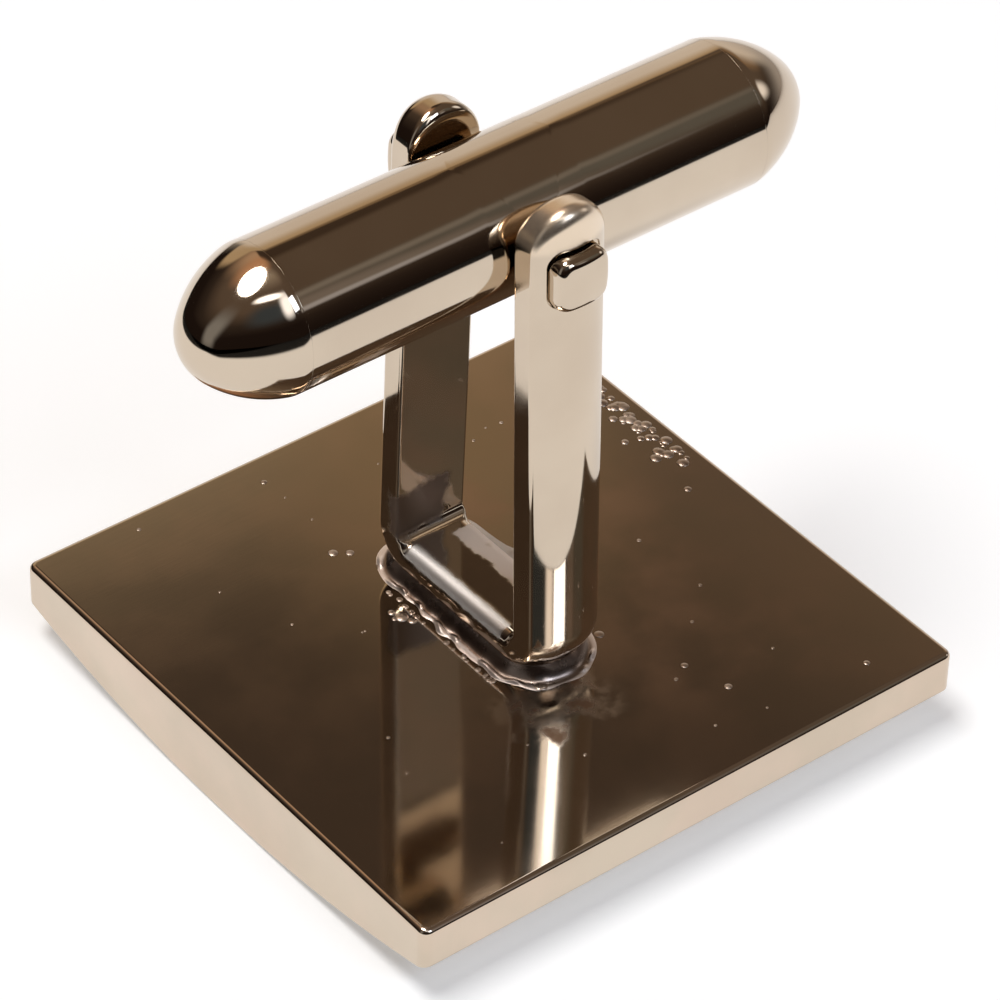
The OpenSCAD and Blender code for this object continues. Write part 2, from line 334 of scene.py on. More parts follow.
# %% Stirrup sheets
def half_strip():
    """Two sheets of (x, s, t): inner face to crown for the whole half, and the seat's walls."""
    rows = []
    bore = inner_ends(np.full(len(edge0), BORE_R))
    flat_in = outline(inner_r + LOOP)
    for share in np.linspace(0, 1, 9):
        xs = bore + (flat_in - bore) * share
        rows.append(np.column_stack([xs, np.zeros(len(xs))]))
    for turn in np.linspace(0, math.pi / 2, 13):
        xs = outline(inner_r * (1 - math.sin(turn)))
        rows.append(np.column_stack([xs, inner_r * (1 - math.cos(turn))]))
    side_top = crown_out(edge0[:, 0]) - outer_r
    for share in (0.04, 0.5, 0.96):
        rows.append(np.column_stack([edge0, inner_r + (side_top - inner_r) * share]))
    for turn in np.linspace(0, math.pi / 2, 13):
        xs = outline(outer_r * (1 - math.cos(turn)))
        rows.append(np.column_stack([xs, crown_out(xs[:, 0]) - outer_r * (1 - math.sin(turn))]))
    lip = inner_ends(square_reach(hole_turn, SEAT_HALF + LIP_R, HEAD_CORNER_R + LIP_R))
    face = outline(outer_r + LOOP / 2)
    for share in np.linspace(0, 1, 19):
        xs = face + (lip - face) * share
        rows.append(np.column_stack([xs, crown_out(xs[:, 0])]))
    floor_t = (SEAT_Y - SEAT_UNDER - BEND_Y + PIVOT_L * math.sin(LEAN)) / math.cos(LEAN) - BEND_R
    seat = []
    for turn in np.linspace(0, math.pi / 2, 5):
        grow = LIP_R * (1 - math.sin(turn))
        xs = inner_ends(square_reach(hole_turn, SEAT_HALF + grow, HEAD_CORNER_R + grow))[wrapped]
        t = crown_out(xs[:, 0]) - LIP_R * (1 - math.cos(turn))
        seat.append(np.column_stack([xs, t]))
    seat.append(np.column_stack([xs, np.full(len(xs), floor_t)]))
    for t in (floor_t, 0):
        seat.append(np.column_stack([bore[wrapped], np.full(wrapped.sum(), t)]))
    return np.stack(rows), np.stack(seat)


stirrup_sheets = []
for sheet in half_strip():
    x, along, out = np.moveaxis(sheet, -1, 0)
    for side in (1, -1):
        stirrup_sheets.append((bend_strip(x, side * along, out), False))
stirrup = piece("stirrup", stirrup_sheets, "base", "post_frame", crease=55)


# %% [markdown]
# ## The pin
# The pin is staked over at both ends into square heads with round corners. Every section
# of it is an outline in polar form about the pin's axis: a circle at the journals, a circle
# cut by four flats in the middle, where the leaf springs press, and a rounded square at the
# heads. A cylinder joined to two beveled cubes would look the same from far off, but the
# heads are slightly domed, and one sheet over all the sections gets that too.

# %% Pin surface
HEAD_PROUD, HEAD_DOME_R, HEAD_EDGE_R = 0.42, 3.2, 0.2
HEAD_TOP = SEAT_Y + SEAT_DEPTH + HEAD_PROUD
CAM_HALF, CAM_L, CAM_CORNER_R = 0.53, 2.34, 0.001
PIN_STEPS = 144


def pin_surface():
    """Rows of polar sections, from the middle of the pin to the middle of the head's face."""
    angle = np.linspace(0, 2 * math.pi, PIN_STEPS + 1)[:-1]
    circle = np.full(len(angle), PIN_R)
    flats = np.minimum(circle, square_reach(angle, CAM_HALF, CAM_CORNER_R))
    rows = [(flats, 0.0), (flats, CAM_L / 2), (circle, CAM_L / 2), (circle, SEAT_Y)]
    side = square_reach(angle, HEAD_SIDE / 2, HEAD_CORNER_R)

    def face(reach):
        return HEAD_TOP - HEAD_DOME_R + np.sqrt(HEAD_DOME_R ** 2 - reach ** 2)

    rows.append((side, SEAT_Y))
    rows.append((side, (SEAT_Y + face(side) - HEAD_EDGE_R) / 2))
    for turn in np.linspace(0, math.pi / 2, 8):
        inset = HEAD_EDGE_R * (1 - math.cos(turn))
        reach = square_reach(angle, HEAD_SIDE / 2 - inset, HEAD_CORNER_R - inset)
        rows.append((reach, face(reach) - HEAD_EDGE_R * (1 - math.sin(turn))))
    for share in np.linspace(0.97, 0, 12):
        rows.append((reach * share, face(reach * share)))
    return np.stack([np.stack([r * np.sin(angle), y + 0 * angle, PIVOT_Z + r * np.cos(angle)],
                              axis=-1) for r, y in rows])


far_half = pin_surface()
pin = piece("pin", [(far_half, True), (far_half * [1, -1, 1], True)], "base",
            "pivot_pin", crease=40)


# %% [markdown]
# ## The toggle
# The barrel is a thin tube with two side holes for the pin, and each cap is turned with a
# plug that is pressed into it. The tube's ends are profiles turned round the toggle's axis,
# as a Screw modifier would do. A Boolean modifier could cut the holes, but it spoils the
# mirror round them. So round each hole the tube is a patch whose lines run from the hole
# out to a rectangle, all of them on the cylinder.

# %% Turned ends and the holed tube
BARREL_L, BARREL_WALL, CAP_L, PLUG_L, SEAM_R = 14.6, 0.35, 2.42, 1.5, 0.003
SHOULDER_R, SHOULDER_TURN, CAP_TIP_R = 1.0, math.radians(14), 1.48
TUBE_R = TOGGLE_R - BARREL_WALL
TURN_STEPS, PATCH_X, PATCH_STEPS, SIDE_HOLE_R = 192, 1.6, 24, 0.69
PLUG_FIT, PLUG_CHAMFER = 0.02, 0.1


def turned(profile, steps=TURN_STEPS):
    """Turn points (x, r) round the toggle's axis: y = r sin(angle), z = pivot + r cos(angle)."""
    angle = np.arange(steps) * 2 * math.pi / steps
    x, r = profile[:, 0][:, None], profile[:, 1][:, None]
    return np.stack([x + 0 * angle, r * np.sin(angle), PIVOT_Z + r * np.cos(angle)], axis=-1)


def seam_edge(x, direction):
    """Quarter round from the outer surface onto the seam plane at x."""
    turn = np.linspace(0, math.pi / 2, 5)
    return np.column_stack([x - direction * SEAM_R * (1 - np.sin(turn)),
                            TOGGLE_R - SEAM_R * (1 - np.cos(turn))])


def barrel_end():
    """Profile of the tube's end: outer surface, rounded seam edge, and back along the bore."""
    half = BARREL_L / 2
    outer = np.column_stack([np.linspace(PATCH_X, half - SEAM_R - LOOP, 12), np.full(12, TOGGLE_R)])
    bore = np.column_stack([np.linspace(half, PATCH_X, 6), np.full(6, TUBE_R)])
    return np.concatenate([outer, seam_edge(half, 1), bore])


def patch_rim():
    """Corner-to-corner rim of the patch in (x, angle) and the direction of each rim point."""
    long = np.linspace(0, math.pi, TURN_STEPS // 2 + 1)
    short = np.linspace(PATCH_X, -PATCH_X, PATCH_STEPS + 1)
    x = np.concatenate([np.full(len(long) - 1, PATCH_X), short[:-1],
                        np.full(len(long) - 1, -PATCH_X), short[::-1][:-1]])
    a = np.concatenate([long[:-1], np.full(PATCH_STEPS, math.pi),
                        long[::-1][:-1], np.zeros(PATCH_STEPS)])
    return x, a, np.arctan2((a - math.pi / 2) * TOGGLE_R, x)


def holed_patch(radius):
    """Lines from the side hole to the rim, straight in (x, angle), wrapped on the cylinder."""
    rim_x, rim_a, way = patch_rim()
    hole_x = SIDE_HOLE_R * np.cos(way)
    hole_a = math.pi / 2 + np.arcsin(SIDE_HOLE_R * np.sin(way) / radius)
    share = (np.linspace(0, 1, 13) ** 1.3)[:, None]
    x = hole_x + (rim_x - hole_x) * share
    a = hole_a + (rim_a - hole_a) * share
    return np.stack([x, radius * np.sin(a), PIVOT_Z + radius * np.cos(a)], axis=-1)


barrel_sheets = [(turned(barrel_end()), True), (turned(barrel_end() * [-1, 1]), True)]
outer_patch, inner_patch = holed_patch(TOGGLE_R), holed_patch(TUBE_R)
for patch in (outer_patch, inner_patch, np.stack([outer_patch[0], inner_patch[0]])):
    barrel_sheets += [(patch, True), (patch * [1, -1, 1], True)]
barrel = piece("toggle_tube", barrel_sheets, "toggle", "toggle_barrel", crease=40)


# %% [markdown]
# ## The caps
# A cap is bullet-shaped: a round tip, a long flank and a rounded shoulder. A curve drawn by
# eye would do for its outline, but wherever two arcs meet at an angle a mirror shows a ring.
# So the flank's radius is worked out from the other two arcs, and the three share their
# tangents. A fine seam stays open against the tube.

# %% Cap profile
def cap_profile():
    """Tip, flank and shoulder arcs, each with one tangent where they meet, then the plug.

    A point of an arc is its middle + radius * (sin slope, cos slope) as (x, r). The flank's
    radius is the one that leaves the shoulder's end and just touches the tip's circle.
    """
    def arc(middle, radius, slopes):
        return middle + radius * np.column_stack([np.sin(slopes), np.cos(slopes)])

    shoulder_mid, tip_mid = np.array([0, TOGGLE_R - SHOULDER_R]), np.array([CAP_L - CAP_TIP_R, 0])
    way = np.array([math.sin(SHOULDER_TURN), math.cos(SHOULDER_TURN)])
    gap = shoulder_mid + SHOULDER_R * way - tip_mid
    flank_r = (gap @ gap - CAP_TIP_R ** 2) / (2 * (gap @ way - CAP_TIP_R))
    flank_mid = gap + tip_mid - flank_r * way
    to_tip = tip_mid - flank_mid
    join = math.atan2(to_tip[0], to_tip[1])
    print("cap flank radius", round(flank_r, 3), "join slope", round(math.degrees(join), 1))
    arcs = np.concatenate([
        arc(tip_mid, CAP_TIP_R, np.linspace(math.pi / 2, join, 20)),
        arc(flank_mid, flank_r, np.linspace(join, SHOULDER_TURN, 24))[1:],
        arc(shoulder_mid, SHOULDER_R, np.linspace(SHOULDER_TURN, SEAM_R + 0.01, 10))[1:]])
    plug_r = TUBE_R - PLUG_FIT
    plug = np.array([[0, plug_r], [-PLUG_L + PLUG_CHAMFER, plug_r],
                     [-PLUG_L, plug_r - PLUG_CHAMFER], [-PLUG_L, 0]])
    return np.concatenate([arcs, seam_edge(0, -1), plug]) + [BARREL_L / 2, 0]


cap_right = piece("cap_right", [(turned(cap_profile()), True)], "toggle",
                  "toggle_cap_right", crease=40)
cap_left = piece("cap_left", [(turned(cap_profile() * [-1, 1]), True)], "toggle",
                 "toggle_cap_left", crease=40)


# %% [markdown]
# ## Solder round the foot
# The foot touches the plate along one line, and solder fills the wedge on both sides. It has
# crept up the strip, run out thinly over the plate and frozen there in a lumpy hem. The
# surface is one sheet of loops round the foot. Three parts add up to its height: a hollow
# fillet against the strip, a thin skin, and the lumps of the hem. How far it reaches changes
# round the foot, and on the right it ran out further and stayed rough. Sculpting could make
# it too, but sums of seeded sine waves give the same lumps each time the script runs.

# %% Solder surface
SOLDER_H, TUCK, SKIN_W, SKIN_T, DIP = 0.5, 0.08, 0.5, 0.035, 0.004
HEM_H, HEM_AT, HEM_SPREAD, ROUGH_H = 0.075, 0.8, 0.13, 0.022
LOOP_STEPS, BOW_STEPS = 132, 60


def waves(u, v, count, finest, seed):
    """Sum of sines of u and v with seeded directions and phases, about -1 to 1."""
    draw = np.random.default_rng(seed)
    total = np.zeros(np.broadcast(u, v).shape)
    for k in range(count):
        a, b = draw.uniform(-finest, finest, 2)
        total = total + np.sin(a * u + b * v + draw.uniform(0, 2 * math.pi))
    return total / math.sqrt(count)


def foot_loop(reach):
    """Loop round the foot at the given distance from its middle line, as (x, y)."""
    straight = np.linspace(-BEND_Y, BEND_Y, LOOP_STEPS + 1)[:-1]
    bow = np.linspace(0, math.pi, BOW_STEPS + 1)[:-1]
    x = np.concatenate([np.ones(LOOP_STEPS), np.cos(bow), -np.ones(LOOP_STEPS), -np.cos(bow)])
    mid = np.concatenate([straight, np.full(BOW_STEPS, BEND_Y),
                          -straight, np.full(BOW_STEPS, -BEND_Y)])
    side = np.concatenate([0 * straight, np.sin(bow), 0 * straight, -np.sin(bow)])
    return x * reach, mid + side * reach


def solder_reach():
    """Width of the skin beyond the strip: slow waves, and a wide run-out on the right."""
    x, y = foot_loop(1.0)
    run_out = np.where(x > 0, smooth((y + 0.6) / 0.8) * smooth((3.9 - y) / 0.9), 0)
    width = SKIN_W + 0.1 * waves(x, y, 6, 3.2, 3) + 0.06 * waves(x, y, 6, 9.0, 4)
    return width + 0.5 * run_out, run_out


def solder_surface():
    """Height = fillet (1 - 1.25 q)^2.4 + skin + lumps, where q runs over the skin's width.

    The first loops lie inside the strip, and the skin starts TUCK inside its edge.
    """
    reach, run_out = solder_reach()
    top = np.full(len(reach), BACK_Z + SOLDER_H)
    rows = [np.column_stack([*foot_loop(share * STRIP_W / 2), top]) for share in (0.0, 0.5, 0.85)]
    for q in np.linspace(0, 1, 40):
        x, y = foot_loop(STRIP_W / 2 - TUCK + (reach + TUCK) * q)
        fillet = SOLDER_H * max(1 - q * 1.25, 0) ** 2.4 * (1 + 0.08 * waves(x, y, 5, 4.0, 5))
        skin = SKIN_T * (1 - q ** 6)
        lumps = np.clip(waves(x, y, 8, 11.0, 8), 0, 1.4)
        hem = HEM_H * np.exp(-((q - HEM_AT) / HEM_SPREAD) ** 2) * lumps
        rough = ROUGH_H * run_out * math.sin(math.pi * q) * waves(x, y, 14, 26.0, 9)
        height = np.maximum(fillet + (skin + hem + rough) * smooth((1 - q) / 0.12), 0)
        rows.append(np.column_stack([x, y, BACK_Z + height - DIP * (q == 1)]))
    return np.stack(rows)


solder_top = solder_surface()
solder_under = np.stack([solder_top[-1], solder_top[-1] * [0, 0, 1]])
solder = piece("solder", [(solder_top, True), (solder_under, True)], "base",
               "solder_fillet")


# %% [markdown]
# ## Beads on the plate
# Solder and flux have spat small beads on the back of the plate, most of them in a strip
# near the right edge and some along the solder's hem. A particle system could scatter them,
# but then each would be an object of its own. Here they are one mesh: each bead is a low cap,
# a little sunk in the plate, and all are worked out at once from their places and sizes.
# Most places are drawn at random, from a fixed seed. Those of the beads that catch the eye
# are given one by one.

# %% Bead surface
BEAD_TURN, BEAD_SUNK, BEAD_FLAT = math.radians(80), 0.003, 0.32


def beads(places, steps=12, rings=5):
    """Caps of flattened spheres of radius r and height h.

    At ring angle t a cap reaches out r sin(t) and up h (cos(t) - cos(BEAD_TURN)). A last
    ring of no reach closes it underneath.
    """
    turn = np.append(np.linspace(0, BEAD_TURN, rings + 1), BEAD_TURN)
    reach = np.sin(turn) * np.append(np.ones(rings + 1), 0)
    rise = np.cos(turn) - math.cos(BEAD_TURN)
    angle = np.arange(steps) * 2 * math.pi / steps
    x, y, r, h = (places[:, k][:, None, None] for k in range(4))
    return np.stack([x + r * reach[:, None] * np.cos(angle), y + r * reach[:, None] * np.sin(angle),
                     BACK_Z - BEAD_SUNK + h * rise[:, None] + 0 * angle], axis=-1)


# %% Bead places as x, y and radius
STRIP_N, SPREAD_N, HEM_N = 60, 26, 22
STRIP_X, HEM_X = 8.5, -1.69
draw = np.random.default_rng(7)
strip_x = STRIP_X - 0.36 * np.abs(draw.normal(0, 1.1, STRIP_N))
strip_y = draw.uniform(1.5, 6.2, STRIP_N)
strip = np.column_stack([strip_x, strip_y, draw.uniform(0.06, 0.2, STRIP_N)])
spread_xy = draw.uniform([-6, -8], [8, 8], (SPREAD_N, 2))
spread = np.column_stack([spread_xy, draw.uniform(0.03, 0.07, SPREAD_N)])
hem_y = draw.uniform(-2.9, 2.6, HEM_N)
hem_x = HEM_X - 0.1 * draw.random(HEM_N)
hem = np.column_stack([hem_x, hem_y, draw.uniform(0.05, 0.1, HEM_N)])
single = np.array([[-2.0, 4.3, 0.15], [-1.62, 4.03, 0.13], [-1.73, 7.9, 0.1], [7.6, 0.6, 0.12],
                   [5.1, -0.3, 0.07], [2.8, -5.05, 0.11], [3.2, -6.4, 0.12], [6.8, -7.9, 0.1],
                   [-5.7, 8.3, 0.07], [-1.25, 3.05, 0.17], [1.75, -2.7, 0.15], [-2.3, 1.1, 0.08],
                   [1.9, -2.2, 0.12], [4.1, -3.8, 0.06], [-0.77, -3.34, 0.27], [-2.1, 1.04, 0.2],
                   [-1.95, 0.75, 0.14], [-2.2, 1.35, 0.12]])
placed = np.concatenate([strip, spread, hem, single])
bead_grid = beads(np.column_stack([placed, placed[:, 2] * BEAD_FLAT]))
bead_piece = piece("beads", [(one, True) for one in bead_grid], "base")


# %% [markdown]
# ## The camera
# The view comes from two angles about the middle of the plate's back, a small roll, a
# distance and two shifts of the aim, all found by laying the outline of the model over the
# photograph. A Track To constraint would aim the camera as well, but its own axes are easier
# to fit. They are built as an orthonormal frame, in which back points towards the camera.

# %% Camera
from mathutils import Matrix

AZIMUTH, ELEVATION, ROLL = (math.radians(v) for v in (-38.995, 39.847, 1.534))
DISTANCE, SIDE_SHIFT, UP_SHIFT, LENS = 135.783, 0.366, 2.908, 180


def placed_frame(right, up, back, place_mm):
    """Matrix of an object with these three axes, at a place in millimetres."""
    matrix = np.eye(4)
    matrix[:3] = np.column_stack([right, up, back, np.asarray(place_mm) * MM])
    return Matrix(matrix.tolist())


back = np.array([math.sin(AZIMUTH) * math.cos(ELEVATION), -math.cos(AZIMUTH) * math.cos(ELEVATION),
                 math.sin(ELEVATION)])
level = np.array([math.cos(AZIMUTH), math.sin(AZIMUTH), 0])
upright = np.cross(back, level)
right = math.cos(ROLL) * level + math.sin(ROLL) * upright
up = np.cross(back, right)
camera_data = bpy.data.cameras.new("camera")
camera_data.sensor_width = 36
camera_data.lens = LENS
camera_data.clip_start = 0.01
camera = bpy.data.objects.new("camera", camera_data)
bpy.context.scene.collection.objects.link(camera)
place = np.array([0, 0, BACK_Z]) + SIDE_SHIFT * right + UP_SHIFT * up + DISTANCE * back
camera.matrix_world = placed_frame(right, up, back, place)
bpy.context.scene.camera = camera
print("camera at mm", [round(v, 1) for v in place])


# %% [markdown]
# ## Nodes by hand
# Every material and the room are small node trees. They could be drawn in the editor, but a
# script can't show that. One helper adds a node, sets its properties and fills or links its
# inputs, and short ones do sums, blends and noise, so each tree reads from top to bottom.

# %% Node helpers
def node(tree, kind, inputs=None, **settings):
    """Add a node, set its properties, and set or link its inputs by name or number."""
    made = tree.nodes.new(kind)
    for key, value in settings.items():
        setattr(made, key, value)
    for key, value in (inputs or {}).items():
        if isinstance(value, bpy.types.NodeSocket):
            tree.links.new(value, made.inputs[key])
        else:
            made.inputs[key].default_value = value
    return made


def calc(tree, operation, *values):
    """One Math node on the given values or sockets."""
    return node(tree, "ShaderNodeMath", dict(enumerate(values)), operation=operation).outputs[0]


def dot(tree, vector, other):
    """Dot product of two vectors."""
    made = node(tree, "ShaderNodeVectorMath", {0: vector, 1: other}, operation="DOT_PRODUCT")
    return made.outputs["Value"]


def fade(tree, value, low, high, to_low=0.0, to_high=1.0):
    """A smooth step of the value, from to_low at low to to_high at high."""
    made = node(tree, "ShaderNodeMapRange", {"Value": value, "From Min": low, "From Max": high,
                                             "To Min": to_low, "To Max": to_high},
                interpolation_type="SMOOTHSTEP")
    return made.outputs["Result"]


def noise(tree, where, scale, detail):
    """Clouds of values about 0.5, with so many features to the metre."""
    made = node(tree, "ShaderNodeTexNoise", {"Vector": where, "Scale": scale, "Detail": detail})
    return made.outputs["Fac"]


def mix(tree, share, first, second):
    """Blend two colours, each given as numbers or as a socket."""
    pair = {key: value if isinstance(value, bpy.types.NodeSocket) else (*value, 1)
            for key, value in (("Color1", first), ("Color2", second))}
    return node(tree, "ShaderNodeMixRGB", {"Fac": share, **pair}).outputs["Color"]


# %% [markdown]
# ## The room
# Polished metal has hardly any colour of its own: it shows the room. The photograph's metal
# tells what stood around it: a dim brown room, a bright wall beyond the object, the dark
# side where the camera is, and some small lights. An image of a room could stand in for it,
# but no such image fits this metal. So the world paints the room by direction: first a ramp
# by height, then soft ellipses. Each has its compass angle from +Y towards +X, its height,
# its half sizes in degrees, how soft it is, how square, and its colour.

# %% World
def compass(azimuth, elevation):
    """Unit vector of a direction; azimuth is measured from +Y towards +X."""
    az, el = math.radians(azimuth), math.radians(elevation)
    return np.array([math.sin(az) * math.cos(el), math.cos(az) * math.cos(el), math.sin(el)])


world = bpy.data.worlds.new("room")
world.use_nodes = True
bpy.context.scene.world = world
sky = world.node_tree
sky.nodes.clear()
direction = node(sky, "ShaderNodeTexCoord").outputs["Generated"]


def patch_mask(azimuth, elevation, half_w, half_h, soft, power):
    """1 inside |u|^power + |v|^power = 1, fading over the soft share of its size."""
    centre, side = compass(azimuth, elevation), compass(azimuth + 90, 0)
    parts = []
    for axis, half in ((side, half_w), (np.cross(side, centre), half_h)):
        share = calc(sky, "DIVIDE", dot(sky, direction, axis), math.sin(math.radians(half)))
        parts.append(calc(sky, "POWER", calc(sky, "ABSOLUTE", share), power))
    reach = calc(sky, "POWER", calc(sky, "ADD", *parts), 1 / power)
    front = calc(sky, "GREATER_THAN", dot(sky, direction, centre), 0.0)
    return calc(sky, "MULTIPLY", fade(sky, reach, 1 - soft, 1 + soft, 1.0, 0.0), front)


ROOM_RAMP = [(0.0, (0.011, 0.008, 0.006)), (0.60, (0.016, 0.010, 0.008)),
             (0.68, (0.040, 0.028, 0.021)), (0.77, (0.125, 0.088, 0.062)),
             (0.90, (0.140, 0.100, 0.072)), (1.0, (0.35, 0.28, 0.21))]
ROOM_LIGHTS = [
    (95, 42, 38, 24, 0.5, 3.0, (0.125, 0.090, 0.064)),
    (12, 50, 14, 12, 0.8, 2.0, (0.54, 0.35, 0.22)),
    (34, 48, 9.5, 14, 0.25, 3.0, (0.064, 0.042, 0.028)),
    (56, 29, 24, 10, 0.28, 2.3, (0.27, 0.175, 0.10)),
    (20, 27, 20, 12, 0.17, 3.0, (0.56, 0.41, 0.25)),
    (38.2, 37.3, 1.8, 1.8, 0.6, 2.0, (0.27, 0.18, 0.10)),
    (42.8, 36.0, 2.0, 1.7, 0.6, 2.0, (0.12, 0.085, 0.06)),
    (45, 1, 27, 26, 0.28, 5.0, (0.80, 0.71, 0.62)),
    (78, -4, 26, 16, 0.6, 2.0, (0.44, 0.40, 0.37)),
    (-95, 22, 11, 24, 0.5, 3.0, (0.27, 0.26, 0.25)),
    (205, 42, 16, 12, 0.6, 2.5, (0.055, 0.066, 0.076)),
    (133, 35, 8, 11, 0.5, 2.5, (0.135, 0.125, 0.108)),
    (148, 37, 4.5, 9, 0.4, 3.0, (0.23, 0.195, 0.17)),
    (110, 23, 8, 8, 0.6, 2.0, (1.2, 1.15, 1.12)),
    (149.5, 28.5, 4.5, 2.6, 0.6, 2.0, (0.45, 0.44, 0.46)),
    (143, 45, 8, 2.8, 0.9, 2.0, (0.26, 0.23, 0.20)),
    (209, 63, 11, 3.6, 0.4, 2.5, (3.2, 3.2, 3.3)),
    (184, 46, 4.5, 15, 0.5, 2.5, (1.9, 1.95, 2.1)),
    (-5, 66, 15, 12, 0.6, 2.0, (0.62, 0.33, 0.18))]
height = calc(sky, "DIVIDE", calc(sky, "ARCSINE", dot(sky, direction, (0, 0, 1))), math.pi / 2)
ramp = node(sky, "ShaderNodeValToRGB", {"Fac": calc(sky, "MULTIPLY_ADD", height, 0.5, 0.5)})
while len(ramp.color_ramp.elements) < len(ROOM_RAMP):
    ramp.color_ramp.elements.new(0.5)
for stop, (position, paint) in zip(ramp.color_ramp.elements, ROOM_RAMP):
    stop.position = position
    stop.color = (*paint, 1)
colour = ramp.outputs["Color"]
for *where, paint in ROOM_LIGHTS:
    colour = mix(sky, patch_mask(*where), colour, paint)
background = node(sky, "ShaderNodeBackground", {"Color": colour})
node(sky, "ShaderNodeOutputWorld", {"Surface": background.outputs[0]})
print("room lights", len(ROOM_LIGHTS))


# %% [markdown]
# ## Two lamps
# The white spot in the left cap is an oval ceiling lamp, nearly overhead. A tall light to the
# right of the camera draws bright streaks on the arms. They could be two more patches of the
# room, but real lamps also cast the soft shadow on the paper. Each is given by its direction
# and by how large it looks from the object, and its power follows from how bright its face
# should be: an area lamp that sends P watts from an area A has a face of radiance P / (pi A).

# %% Lamps
LAMP_DISTANCE, LAMP_AIM = 600, (0, 0, 9)


def area_lamp(name, azimuth, elevation, wide, tall, radiance, tint, shape):
    """An area lamp that looks wide x tall degrees large from the object and faces it."""
    way, side = compass(azimuth, elevation), compass(azimuth + 90, 0)
    lamp_data = bpy.data.lights.new(name, "AREA")
    lamp_data.shape = shape
    lamp_data.size, lamp_data.size_y = (2 * LAMP_DISTANCE * MM * math.tan(math.radians(angle / 2))
                                        for angle in (wide, tall))
    face = lamp_data.size * lamp_data.size_y * (math.pi / 4 if shape == "ELLIPSE" else 1)
    lamp_data.energy = radiance * math.pi * face
    lamp_data.color = tint
    lamp = bpy.data.objects.new(name, lamp_data)
    lamp.matrix_world = placed_frame(side, np.cross(way, side), way, LAMP_AIM + way * LAMP_DISTANCE)
    bpy.context.scene.collection.objects.link(lamp)
    print(name, "watts", round(lamp_data.energy, 3))


area_lamp("ceiling_lamp", -54, 74, 34, 22, 10.5, (1.0, 0.97, 0.94), "ELLIPSE")
area_lamp("tall_light", 167, 44, 15, 20, 4.8, (0.86, 1.0, 1.22), "RECTANGLE")


# %% [markdown]
# ## The floor
# The object lies on a large sheet of white paper, which ends in front and to the left. The
# metal shows that: the pale bands along the toggle and the arms are the paper, and the black
# band over them is the dark room past the paper's edges. Two planes could be the paper and
# the dark floor, but a plane has sharp edges. So the floor is one plane, and two soft steps
# across it give its colour. A little emission keeps the paper white without more light on
# the object. The camera alone sees the floor past the edges pale too, so that the
# background is white from every side.

# %% Paper, with each edge as compass angle, distance and softness in millimetres
PAPER_EDGES = [(-145, 60, 10), (-78, 88, 8)]
PAPER_WHITE, PAPER_GLOW, CAMERA_GLOW = (0.84, 0.865, 0.885), 0.30, 0.97
floor_mesh = bpy.data.meshes.new("floor")
floor_mesh.from_pydata([(-2, -2, 0), (2, -2, 0), (2, 2, 0), (-2, 2, 0)], [], [(0, 1, 2, 3)])
floor = bpy.data.objects.new("floor", floor_mesh)
bpy.context.scene.collection.objects.link(floor)
paper = bpy.data.materials.new("paper")
paper.use_nodes = True
sheet = paper.node_tree
sheet.nodes.clear()
spot = node(sheet, "ShaderNodeTexCoord").outputs["Object"]
inside = 1.0
for azimuth, distance, soft in PAPER_EDGES:
    past = dot(sheet, spot, compass(azimuth, 0))
    edge = fade(sheet, past, (distance - soft) * MM, (distance + soft) * MM, 1.0, 0.02)
    inside = calc(sheet, "MULTIPLY", inside, edge)
matte = node(sheet, "ShaderNodeBsdfDiffuse", {"Color": mix(sheet, inside, (0, 0, 0), PAPER_WHITE)})
ray = node(sheet, "ShaderNodeLightPath").outputs
seen = calc(sheet, "MAXIMUM", ray["Is Camera Ray"], ray["Is Glossy Ray"])
seen = calc(sheet, "MAXIMUM", seen, ray["Is Transmission Ray"])
lift = calc(sheet, "MULTIPLY", calc(sheet, "MULTIPLY", seen, inside), PAPER_GLOW)
outside = calc(sheet, "MULTIPLY", ray["Is Camera Ray"], calc(sheet, "SUBTRACT", 1, inside))
lift = calc(sheet, "MULTIPLY_ADD", outside, CAMERA_GLOW, lift)
glow = node(sheet, "ShaderNodeEmission", {"Color": (0.97, 0.98, 1, 1), "Strength": lift})
both = node(sheet, "ShaderNodeAddShader", {0: matte.outputs[0], 1: glow.outputs[0]})
node(sheet, "ShaderNodeOutputMaterial", {"Surface": both.outputs[0]})
floor_mesh.materials.append(paper)
print("paper edges", len(PAPER_EDGES))


# %% [markdown]
# ## Materials
# The metal is nickel plating, polished by hand. Its colour hardly varies, so its life comes from
# the gloss: soft clouds where it is duller, a slight waviness left by the buff, which bends the
# reflections, and fine scratches along the way each piece was polished. A picture of metal would
# repeat and stretch, so the pattern is noise on Object coordinates, of the same size on every
# piece. Where soldering or filing has left a mark, and where light or shade is painted on, a mask
# blends in another look.

# %% Polished plating
CLOUDS, DULL_SPOTS, SCRATCHES, WAVES = 260.0, 900.0, 1000.0, 420.0


